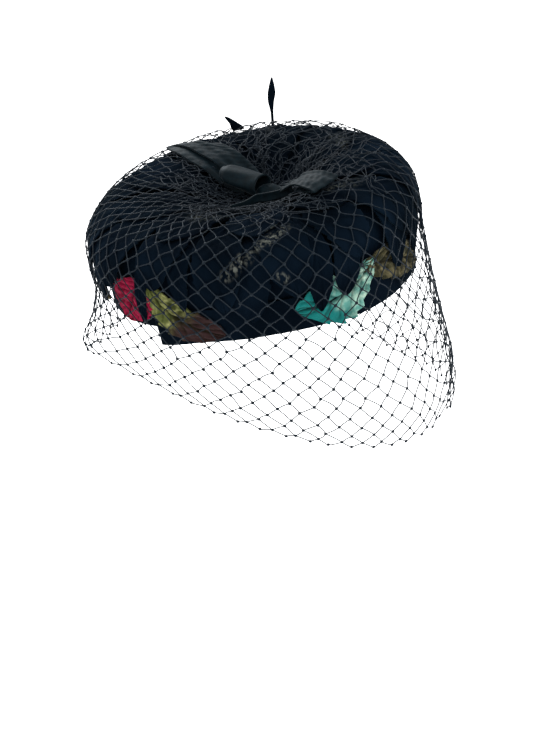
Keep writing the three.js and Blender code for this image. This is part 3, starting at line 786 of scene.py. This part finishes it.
def side_leaves():
    """Black leaves that hang down the side from under the top ones, in two layers."""
    form = settings().form
    crown = Crown(form)
    broad = [
        (BROAD_FIRST + i * 360 / len(BROAD_TIPS), tip, BROAD_BREADTH, BROAD_SLANT, BROAD_FULLNESS, 1)
        for i, tip in enumerate(BROAD_TIPS)
    ]
    for index, row in enumerate(broad + [(*under, 0) for under in UNDER_LEAVES]):
        turn, tip, breadth, slant, fullness, above = row
        middle, lean = math.radians(turn), math.tan(math.radians(slant))

        def place(along, side):
            run = mix(SIDE_ROOT, tip, along)
            across = side * breadth * form.crown_height * leaf_breadth(along, fullness)
            across = across + (run - SIDE_ROOT) * crown.length * lean
            return middle + across / crown.radius(middle, run), run

        leaf_piece(
            "black", f"leaf_side_{index + 1:02d}", "black_velvet", place,
            lambda r: side_lift(form, r, above), SIDE_SEED + index, teeth=7, relief=0.0004, curl=0.0007,
        )


# The top leaves: how many, the first one's turn in degrees, the runs of their roots and tips, the share of
# their room round the hat that they fill, and their fullness
TOP_COUNT, TOP_FIRST, TOP_ROOT, TOP_TIP, TOP_SPREAD, TOP_FULLNESS = 9, 4, 0.16, 0.57, 0.90, 1.25


def top_leaves():
    """A round of black leaves over the shoulder, from the hollow outward, whose sides don't meet."""
    form = settings().form
    for index in range(TOP_COUNT):
        middle = math.radians(TOP_FIRST + index * 360 / TOP_COUNT)

        def place(along, side):
            aside = side * TOP_SPREAD * math.pi / TOP_COUNT * leaf_breadth(along, TOP_FULLNESS)
            return middle + aside, mix(TOP_ROOT, TOP_TIP, along)

        leaf_piece(
            "black", f"leaf_top_{index + 1}", "black_velvet", place,
            lambda r: top_lift(form, r), TOP_SEED + index, teeth=8, relief=0.0005, curl=0.0008,
        )


# The bow. A ribbon leaves the knot at a turn and reaches a run. Each row gives its swing in degrees, its
# reach as a share of the way out, its rise over the net and its width as shares of the ribbon's width, and
# how much farther out its nearer edge lies than its middle.
BOW_RIBBONS = {
    "bow_loop_back": (-150, 0.48, [
        (9, 0, 0.05, 0.5, 0.0), (7, 0.3, 0.02, 0.75, 0.06), (2, 0.8, 0.02, 0.85, 0.18),
        (0, 1, 0.05, 0.85, 0.22), (-3, 0.86, 0.09, 0.85, 0.20), (-6, 0.4, 0.12, 0.8, 0.08),
        (-8, 0.03, 0.20, 0.55, 0.0),
    ]),
    "bow_loop_front": (48, 0.46, [
        (0, 0, 0.03, 0.5, 0.0), (1, 0.37, 0.02, 0.75, 0.0), (1, 0.8, 0.02, 0.8, 0.0),
        (0, 1, 0.09, 0.85, 0.0), (0, 0.8, 0.18, 0.8, 0.0), (0, 0.4, 0.25, 0.75, 0.0),
        (0, 0.03, 0.34, 0.5, 0.0),
    ]),
}
# The puffed loop: turn in degrees and run of its two ends, its rise over the net, and half its breadth and
# half its height in metres at both ends
PUFF_ENDS = (-95, 0.020), (-131, 0.215)
PUFF_RISE, PUFF_BREADTH, PUFF_HEIGHT = 0.0022, (0.0080, 0.0064), (0.0060, 0.0050)
# Where on the ellipse its ribbon starts and ends in half turns, and its points round and across
PUFF_SPAN, PUFF_AROUND, PUFF_ACROSS = (-0.62, 1.62), 81, 31
# The narrow end that lies round the knot's near side on its edge: turn in degrees, run, rise of its middle
# over the net in metres and its height as a share
BOW_TAIL = [
    (46, 0.185, 0.0062, 0.7), (40, 0.250, 0.0040, 0.9), (38, 0.200, 0.0050, 1.0),
    (22, 0.140, 0.0060, 1.0), (-4, 0.122, 0.0062, 1.0), (-22, 0.128, 0.0058, 0.9),
    (-25, 0.200, 0.0032, 0.7), (-24, 0.290, 0.0014, 0.15),
]
# Points along each stretch between two rows and across: of a loop, its narrow end and a standing leaf
RIBBON_STEPS, RIBBON_ACROSS = 30, 29
STRIP_STEPS, TAIL_ACROSS, STANDING_ACROSS = 24, 9, 13
# The height of a ribbon's folds where it is narrowed to nothing, and how far they may reach down
FOLD_HEIGHT, FOLD_FLOOR = 0.0022, -0.0006


def ribbon_piece(node, turn, far, rows):
    """A ribbon along a smooth line through its rows, gathered into folds where it is narrowed."""
    hat = settings()
    bow, crown = hat.bow, Crown(hat.form)
    line = through(rows, RIBBON_STEPS * (len(rows) - 1) + 1)
    side = np.linspace(-1, 1, RIBBON_ACROSS)
    swing, reach, rise, wide, skew = (line[:, [k]] for k in range(5))
    run = mix(bow.root / crown.length, far, reach + skew * side)
    middle = np.radians(turn + swing)
    aside = side * bow.width / 2 * wide
    lift = veil_lift(hat, run) + hat.veil.thread / 2 + bow.wall / 2 + PIECE_GAP + rise * bow.width
    fold = (1 - wide) * FOLD_HEIGHT * np.cos(side * 2.6 * np.pi + turn)
    fold = np.maximum(fold + 0.0004 * wobble(27 * reach, side * 2, 7), FOLD_FLOOR)
    centre = crown.at(middle + aside / crown.radius(middle, run), run, lift + fold)
    piece = cloth_about(node.replace("bow", "ribbon"), centre, bow.wall, "ribbon", node)


def puff_piece():
    """The puffed loop: a ribbon led once round an ellipse that moves and shrinks over its width."""
    hat = settings()
    bow, crown = hat.bow, Crown(hat.form)
    ends = [
        crown.at(math.radians(turn), run, veil_lift(hat, run) + hat.veil.thread + PUFF_RISE)
        for turn, run in PUFF_ENDS
    ]
    way = unit((ends[1] - ends[0]) * (1, 1, 0))
    beside = np.array([-way[1], way[0], 0])
    around = np.linspace(*PUFF_SPAN, PUFF_AROUND) * np.pi
    around, across = np.meshgrid(around, np.linspace(0, 1, PUFF_ACROSS), indexing="ij")
    # the ribbon's two ends pass under each other at the foot
    foot = smooth(np.abs(around / np.pi - 0.5), 0.85, 1.12) * np.sign(around - np.pi / 2) * 0.0007
    crease = 1 + 0.05 * np.sin(5 * around + 4 * across) * np.sin(np.pi * across)
    pinch = 1 - 0.35 * smooth(across, 0.75, 1.0) ** 2
    breadth = mix(*PUFF_BREADTH, across) * crease * pinch * np.cos(around)
    height = mix(*PUFF_HEIGHT, across)
    height = height + height * crease * pinch * np.sin(around) + foot
    centre = mix(*ends, across[..., None]) + beside * breadth[..., None] + UP * height[..., None]
    piece = cloth_about("ribbon_loop_middle", centre, bow.wall, "ribbon", "bow_loop_middle")


def tail_piece():
    """The narrow end of the ribbon: a strip on its edge along a smooth line over the crown."""
    hat = settings()
    bow, crown = hat.bow, Crown(hat.form)
    line = through(BOW_TAIL, STRIP_STEPS * (len(BOW_TAIL) - 1) + 1)
    side = np.linspace(-1, 1, TAIL_ACROSS)
    turn, run, rise, tall = (line[:, [k]] for k in range(4))
    foot = veil_lift(hat, run) + hat.veil.thread / 2 + PIECE_GAP
    lift = foot + rise + side * bow.tail_height / 2 * tall
    centre = crown.at(np.radians(turn), run + 0.004 * side**2, lift)
    cloth_about("ribbon_tail_right", centre, bow.wall, "ribbon", "bow_tail_right")


def bow_pieces():
    for node, row in BOW_RIBBONS.items():
        ribbon_piece(node, *row)
    puff_piece()
    tail_piece()


def knot_piece():
    """The knot: a ball squeezed to the modelled one's box, with the ribbon's folds drawn round it."""
    low, high = (np.array(corner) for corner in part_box("bow_knot"))
    high[2] = low[2] + settings().bow.knot_height
    middle, half = (low + high) / 2, (high - low) / 2
    turn, up, ball = ball_grid(72, 41)
    folds = 1 - 0.075 * (0.5 + 0.5 * np.cos(9 * up + 1.1 * np.sin(turn))) * np.cos(up)
    folds = folds + 0.03 * wobble(2.2 * turn, 3 * up, 5)
    points = middle + ball * folds[..., None] * half
    points[0], points[-1] = points[0].mean(axis=0), points[-1].mean(axis=0)
    piece = mesh_object("ribbon_knot", points.reshape(-1, 3), grid_faces(*turn.shape, wrap=True))
    face_outwards(piece)
    finish_piece(piece, "ribbon", ["bow_knot"])


# The standing leaves: place on the crown by turn in degrees and run, length, width, and rows of the place
# along the round of the crown, the height and the width as shares
STANDING_LEAVES = {
    "leaf_upright": (167.4, 0.625, 0.031, 0.0046, [
        (0.0, 0.0, 0.33), (-0.04, 0.3, 0.33), (-0.06, 0.52, 0.75), (-0.10, 0.68, 1.0), (-0.14, 0.86, 0.6),
        (-0.17, 1.0, 0.12),
    ]),
    "leaf_tip_far": (181.5, 0.56, 0.020, 0.0080, [
        (0.0, 0.0, 0.9), (0.05, 0.11, 0.85), (0.13, 0.25, 0.55), (0.26, 0.42, 0.3), (0.34, 0.50, 0.08),
    ]),
}


# Their thickness as a share of a lying leaf's, and how deep they are cupped
STANDING_WALL, STANDING_CUP = 0.9, 0.0007


def standing_leaves():
    """Leaves that stand up through the net, each cupped along a smooth line through its rows."""
    form = settings().form
    crown = Crown(form)
    for name, (turn, run, length, width, rows) in STANDING_LEAVES.items():
        turn = math.radians(turn)
        under = top_lift(form, run) if run < TOP_TIP else side_lift(form, run, 1)
        foot = crown.at(turn, run, under + form.leaf_wall + PIECE_GAP)
        outward = unit(crown.normal(turn, run) * (1, 1, 0))
        beside = np.array([-outward[1], outward[0], 0])
        line = through(rows, STRIP_STEPS * (len(rows) - 1))
        side = np.linspace(-1, 1, STANDING_ACROSS)
        aside, height, wide = (line[:, [k]] for k in range(3))
        aside = aside * length + side * width / 2 * wide
        cup = STANDING_CUP * side**2 * wide
        height = height * length + 0 * side
        centre = foot + beside * aside[..., None] + outward * cup[..., None] + UP * height[..., None]
        wall = form.leaf_wall * STANDING_WALL
        cloth_about(name.replace("leaf", "black"), centre, wall, "black_velvet", name)


# The veil

# The veil's stretch below the crown's side: share of the way down, share of the most that it stands out
VEIL_HANG = [(0.3, 0.28), (0.55, 0.65), (0.8, 1.0), (1.0, 0.2)]
# The run at which the veil leaves the crown, and the share of its flare that it has behind
VEIL_LEAVES_CROWN, BACK_FLARE = 0.9, 0.35
# Where the hem lies lower: middle and width in radians
SAG_TURN, SAG_WIDTH = math.radians(-18), math.radians(28)
# How far down the veil's length its rows lie, and the height of half a mesh there in metres
MESH_HEIGHTS = np.array([
    (0.0, 0.0028), (0.07, 0.0036), (0.14, 0.0050), (0.24, 0.0062), (0.42, 0.0067), (0.60, 0.0063),
    (1.0, 0.0062),
])


def angle_from(turn, middle):
    return np.mod(turn - middle + np.pi, 2 * np.pi) - np.pi


class Veil:
    """The veil's middle as a function of turn and share of the way from its gather to its hem."""

    TURNS, SAMPLES, STEPS = 721, 420, 1200

    def __init__(self, hat):
        veil, crown = hat.veil, Crown(hat.form)
        turn = np.linspace(0, 2 * np.pi, self.TURNS)
        runs = np.linspace(veil.gather / crown.length, VEIL_LEAVES_CROWN, 9)
        rows = [crown.at(turn, run, veil_lift(hat, run)) for run in runs]
        edge = rows[-1]
        outward = unit(edge * (1, 1, 0))
        forward = smooth((1 + np.sin(turn)) / 2, 0, 1)
        hem = -mix(veil.back_drop, veil.front_drop, forward)
        hem = hem - veil.sag * np.exp(-((angle_from(turn, SAG_TURN) / SAG_WIDTH) ** 2))
        for down, flare in VEIL_HANG:
            point = edge + outward * (veil.flare * flare * mix(BACK_FLARE, 1, forward))[:, None]
            point[:, 2] = mix(edge[:, 2], hem, down)
            rows.append(point)
        dense = through(np.array(rows).reshape(len(rows), -1), self.STEPS)
        dense = dense.reshape(self.STEPS, self.TURNS, 3)
        steps = np.linalg.norm(np.diff(dense, axis=0), axis=-1)
        way = np.concatenate([np.zeros((1, self.TURNS)), np.cumsum(steps, axis=0)])
        self.length = float(way[-1].mean())
        shares = np.linspace(0, 1, self.SAMPLES)
        self.grid = np.empty((self.TURNS, self.SAMPLES, 3))
        for k in range(self.TURNS):
            for axis in range(3):
                self.grid[k, :, axis] = np.interp(shares * way[-1, k], way[:, k], dense[:, k, axis])
        self.normals = -sheet_normals(self.grid)

    def sample(self, table, turn, share):
        """The table's value at a turn in radians and a share, from its four neighbours."""
        x = np.mod(turn, 2 * np.pi) / (2 * np.pi) * (self.TURNS - 1)
        y = np.clip(share, 0, 1) * (self.SAMPLES - 1)
        i, j = np.minimum(x.astype(int), self.TURNS - 2), np.minimum(y.astype(int), self.SAMPLES - 2)
        u, v = (x - i)[..., None], (y - j)[..., None]
        return (
            table[i, j] * (1 - u) * (1 - v) + table[i + 1, j] * u * (1 - v)
            + table[i, j + 1] * (1 - u) * v + table[i + 1, j + 1] * u * v
        )

    def at(self, turn, share, lift):
        """The veil's point moved out along its normal."""
        out = self.sample(self.normals, turn, share) * lift[..., None]
        return self.sample(self.grid, turn, share) + out

    def facing(self, turn, share):
        return unit(self.sample(self.normals, turn, share))


def mesh_rows(length):
    """Shares of the veil's length at which its half meshes end, from the table of their heights."""
    shares = [0.0]
    while shares[-1] < 1:
        shares.append(min(shares[-1] + float(np.interp(shares[-1], *MESH_HEIGHTS.T)) / length, 1.0))
    return np.array(shares)


def copies(one, count, size):
    """The faces of many like meshes, from those of one and its count of points."""
    return (one[None] + (np.arange(count) * size)[:, None, None]).reshape(-1, 4)


def tubes(paths, radius, sides=5):
    """Tubes along many paths of the same count of points: rings square to the way, joined in turn."""
    count, steps = paths.shape[:2]
    way = unit(np.gradient(paths, axis=1))
    across = unit(np.cross(way, np.array([0.31, 0.52, 0.79])))
    over = np.cross(across, way)
    angle = np.linspace(0, 2 * np.pi, sides, endpoint=False)
    ring = np.cos(angle)[:, None] * across[:, :, None] + np.sin(angle)[:, None] * over[:, :, None]
    points = (paths[:, :, None] + radius * ring).reshape(-1, 3)
    return points, copies(grid_faces(steps, sides, wrap=True), count, steps * sides)


# A knot's height as a share of its width
KNOT_FLATNESS = 0.62


def lumps(centres, normals, radius, sides=6, rings=5):
    """A small squashed ball at each centre, flat side along the normal."""
    ball = ball_grid(sides, rings)[2] * (1, 1, KNOT_FLATNESS)
    across = unit(np.cross(normals, np.array([0.3, 0.2, 0.9])))
    axes = np.stack([across, np.cross(normals, across), normals], 1)
    points = (centres[:, None, None] + radius * (ball @ axes[:, None])).reshape(-1, 3)
    return points, copies(grid_faces(rings, sides, wrap=True), len(centres), rings * sides)


# How far a strand bows out between its knots, as a share of half a mesh
STRAND_BOW = 0.03


def net(place, rows, columns, steps=6):
    """The knots and strands of a diamond net.

    Knots stand at whole columns in even rows and at half columns in odd ones, and each sends two strands to
    its neighbours in the next row. place(column, row) gives the point and the normal there.
    """
    row, column = np.meshgrid(np.arange(rows), np.arange(columns), indexing="ij")
    knots = np.stack([column + (row % 2) / 2, row], -1).astype(float)
    centres, normals = place(knots[..., 0].ravel(), knots[..., 1].ravel())
    upper = knots[:-1].reshape(-1, 2)
    strands = []
    for aside in (-0.5, 0.5):
        t = np.linspace(0, 1, steps)
        c = upper[:, 0:1] + aside * (t + STRAND_BOW * np.sin(np.pi * t))
        r = upper[:, 1:2] + t
        points, _ = place(c.ravel(), r.ravel())
        strands.append(points.reshape(-1, steps, 3))
    return np.concatenate(strands), centres, normals


# Where the veil's loose ear stands out at the back and where its pleat hangs at the front: turns and widths
# in radians, and how far the ear reaches in metres
EAR_TURN, EAR_WIDTH = math.radians(-71), math.radians(16)
EAR_REACH = np.array([-0.002, 0.0150, 0.0085])
PLEAT_TURN, PLEAT_WIDTH = math.radians(74), math.radians(11)
# The shares of the veil's length over which the ear and the pleat set in
EAR_SETS_IN, PLEAT_SETS_IN = (0.74, 1.0), (0.46, 0.62)
# The shares of it over which the net's crowding and the folded layer's come to an end
CROWD_ENDS, FOLD_ENDS = (0.10, 0.42), (0.16, 0.36)
# How far the ear and the pleat draw the meshes together, and how far the pleat stands out in metres
EAR_PULL, PLEAT_PULL, PLEAT_LIFT = 0.55, 0.115, 0.0022
NET_SEED = 17
# How much thinner the thread is drawn where the net is gathered, and where it thickens again
THIN_THREAD, THREAD_THICKENS = 0.62, (0.12, 0.42)
# How far the folded layer reaches, how many meshes round it has, and how far they stand aside and lower
FOLD_REACH, FOLD_COLUMNS, FOLD_ASIDE, FOLD_DOWN = 0.27, 37, 0.37, 0.012


def veil_pieces():
    """The net: threads and knots over the veil, bunched and folded over itself towards the gather."""
    hat = settings()
    form = hat.veil
    veil = Veil(hat)
    rows = mesh_rows(veil.length)
    columns = form.columns
    rng = np.random.default_rng(NET_SEED)
    last = len(rows)
    shake = rng.normal(0, 1, (3, last + 1, columns * 2 + 1))

    def unrest(kind, column, row):
        """A knot's own seeded shift, shared out between knots along a strand."""
        y = np.clip(row, 0, last - 1)
        x = np.mod(column, columns) * 2
        i, j = y.astype(int), x.astype(int)
        u, v = y - i, x - j
        t = shake[kind]
        j, k = j % (columns * 2), (j + 1) % (columns * 2)
        return mix(mix(t[i, j], t[i, k], v), mix(t[i + 1, j], t[i + 1, k], v), u)

    def place(column, row):
        share = np.interp(row, np.arange(last), rows)
        near = 1 - smooth(share, *CROWD_ENDS)
        turn = column * 2 * np.pi / columns
        crowd = 0.085 * near * np.sin(7 * turn + 1.3) + 0.05 * near * np.sin(13 * turn + 8 * share)
        shift = unrest(0, column, row) * (0.010 + 0.055 * near)
        # the ear that stands out low at the back, and the pleat that hangs at the front
        ear = np.exp(-((angle_from(turn, EAR_TURN) / EAR_WIDTH) ** 2)) * smooth(share, *EAR_SETS_IN)
        crowd = crowd - EAR_PULL * ear * angle_from(turn, EAR_TURN)
        gap = angle_from(turn, PLEAT_TURN) / PLEAT_WIDTH
        pleat = np.exp(-(gap**4)) * smooth(share, *PLEAT_SETS_IN)
        crowd = crowd - PLEAT_PULL * pleat * np.sin(np.pi * gap)
        share = share + unrest(1, column, row) * (0.0018 + 0.006 * near) * np.minimum(1, row)
        lift = near * (0.0012 * np.sin(11 * turn + 22 * share) + 0.0007 * unrest(2, column, row))
        lift = lift + PLEAT_LIFT * pleat * np.cos(np.pi * gap)
        points = veil.at(turn + crowd + shift, share, lift) + ear[..., None] * EAR_REACH
        return points, veil.facing(turn, share)

    strands, centres, normals = net(place, last, columns)
    thin = mix(THIN_THREAD, 1, smooth(rows, *THREAD_THICKENS))
    thread = form.thread / 2 * np.tile(np.repeat(thin[:-1], columns), 2)[:, None, None, None]
    knot = form.knot / 2 * np.repeat(thin, columns)[:, None, None, None]
    for name, mesh, nodes in (
        ("net_threads", tubes(strands, thread), ["veil_net"]),
        ("net_knots", lumps(centres, normals, knot), ()),
    ):
        finish_piece(mesh_object(name, *mesh), "net", nodes)

    # the fullness that lies folded over the net round the gather
    inner = rows[rows < FOLD_REACH]

    def place_fold(column, row):
        share = np.interp(row, np.arange(len(inner)), inner) + FOLD_DOWN
        near = 1 - smooth(share, *FOLD_ENDS)
        turn = (column + FOLD_ASIDE) * 2 * np.pi / FOLD_COLUMNS
        crowd = 0.13 * near * np.sin(5 * turn + 0.4) + 0.06 * np.sin(9 * turn + 14 * share)
        shift = unrest(2, column, row) * 0.06
        share = share + unrest(0, column, row) * 0.006
        lift = 0.0010 * near + 0.0009 * np.sin(9 * turn + 17 * share) - 0.0012 * (1 - near)
        return veil.at(turn + crowd + shift, share, lift), veil.facing(turn, share)

    strands, centres, normals = net(place_fold, len(inner), FOLD_COLUMNS, steps=4)
    for name, mesh in (
        ("net_fold_threads", tubes(strands, form.thread / 2 * THIN_THREAD, sides=4)),
        ("net_fold_knots", lumps(centres, normals, form.knot / 2 * THIN_THREAD, sides=5, rings=4)),
    ):
        finish_piece(mesh_object(name, *mesh), "net")


# Stage

# The camera's right, up and back directions
CAMERA_AXES = (
    (-0.0029, -0.9826, -0.1858),
    (0.4632, -0.1660, 0.8705),
    (-0.8862, -0.0836, 0.4556),
)
SENSOR_WIDTH = 36
FLOOR_REACH, FLOOR_GLOW = 6.0, 0.9
# The soft square lights: place, height that they are turned to, side, power and tint
LIGHTS = {
    "key": ((-0.35, -0.75, 1.10), 0.02, 0.55, 5.0, (1.0, 0.99, 0.97)),
    "fill": ((-1.10, 0.70, 0.70), 0.02, 0.9, 1.0, (0.93, 0.97, 1.0)),
    "rim": ((0.75, 0.30, 0.65), 0.03, 0.5, 9.0, (0.92, 0.97, 1.0)),
}


def add_light(name, place, height, size, power, tint):
    light = bpy.data.lights.new(name, "AREA")
    light.shape, light.size, light.energy, light.color = "SQUARE", size, power, tint
    lamp = bpy.data.objects.new(name, light)
    lamp.location = place
    lamp.rotation_euler = (Vector((0, 0, height)) - Vector(place)).to_track_quat("-Z", "Y").to_euler()
    bpy.context.scene.collection.objects.link(lamp)


def stage_pieces():
    """The camera at the side and a little above, a pale floor, a white room and soft lights."""
    form = settings().stage
    scene = bpy.context.scene
    camera = bpy.data.cameras.new("view")
    camera.lens, camera.sensor_width = form.lens, SENSOR_WIDTH
    eye = bpy.data.objects.new("view", camera)
    eye.matrix_world = Matrix.Translation(form.camera_at) @ Matrix(CAMERA_AXES).transposed().to_4x4()
    scene.collection.objects.link(eye)
    scene.camera = eye

    corners = np.array([(-1, -1, 0), (1, -1, 0), (1, 1, 0), (-1, 1, 0)])
    floor = mesh_object("floor", corners * FLOOR_REACH + UP * form.floor_at, np.array([[0, 1, 2, 3]]))
    pale = bpy.data.materials.new("pale_floor")
    pale.use_nodes = True
    shader = pale.node_tree.nodes["Principled BSDF"]
    for key, value in {
        "Base Color": form.floor, "Roughness": 1.0, "Emission Color": WHITE,
        "Emission Strength": FLOOR_GLOW,
    }.items():
        feed(shader.inputs[key], value)
    floor.data.materials.append(pale)

    room = bpy.data.worlds.new("white_room")
    room.use_nodes = True
    feed(room.node_tree.nodes["Background"].inputs["Color"], WHITE)
    feed(room.node_tree.nodes["Background"].inputs["Strength"], 1.0)
    scene.world = room
    scene.view_settings.view_transform = "Standard"
    for name, row in LIGHTS.items():
        add_light(name, *row)


# Operators

def hat_operator(word, label, words, build):
    """An operator class that calls one building function."""

    def execute(self, context):
        build()
        return {"FINISHED"}

    body = {
        "bl_idname": f"pillbox_hat.{word}",
        "bl_label": label,
        "bl_options": {"REGISTER", "UNDO"},
        "__doc__": words,
        "execute": execute,
    }
    return type(f"PILLBOX_HAT_OT_{word}", (bpy.types.Operator,), body)


OPERATORS = [
    hat_operator("stage", "Stage", "Set the camera, floor, room and lights", stage_pieces),
    hat_operator("crown", "Crown", "Build the velvet-covered crown", crown_pieces),
    hat_operator("band", "Band", "Build the folded band round the lower edge", band_piece),
    hat_operator("dyed_leaves", "Dyed leaves", "Build the coloured velvet leaves", coloured_leaves),
    hat_operator("side_leaves", "Side leaves", "Build the black leaves round the side", side_leaves),
    hat_operator("top_leaves", "Top leaves", "Build the black leaves over the top", top_leaves),
    hat_operator("veil", "Veil", "Build the knotted net veil", veil_pieces),
    hat_operator("bow", "Bow", "Build the ribbons of the bow", bow_pieces),
    hat_operator("knot", "Knot", "Build the knot of the bow", knot_piece),
    hat_operator("standing_leaves", "Standing leaves", "Build the leaves that stand up", standing_leaves),
]


class PILLBOX_HAT_PT_panel(bpy.types.Panel):
    """Lists the hat's builders and sizes in the sidebar"""

    bl_label = "Pillbox hat"
    bl_idname = "PILLBOX_HAT_PT_panel"
    bl_space_type = "VIEW_3D"
    bl_region_type = "UI"
    bl_category = "Hat"

    def draw(self, context):
        for operator in OPERATORS:
            self.layout.operator(operator.bl_idname)
        hat = context.scene.pillbox_hat
        for group in (hat.form, hat.veil, hat.bow, hat.colours, hat.stage):
            box = self.layout.box()
            for name in group.__annotations__:
                box.prop(group, name)


CLASSES = [HatForm, VeilForm, BowForm, Colours, StageForm, HatSettings, *OPERATORS, PILLBOX_HAT_PT_panel]


def register():
    for each in CLASSES:
        bpy.utils.register_class(each)
    bpy.types.Scene.pillbox_hat = PointerProperty(type=HatSettings)


def unregister():
    del bpy.types.Scene.pillbox_hat
    for each in reversed(CLASSES):
        bpy.utils.unregister_class(each)


def main():
    register()
    for operator in OPERATORS:
        getattr(bpy.ops.pillbox_hat, operator.bl_idname.split(".")[1])()


if __name__ == "__main__":
    main()
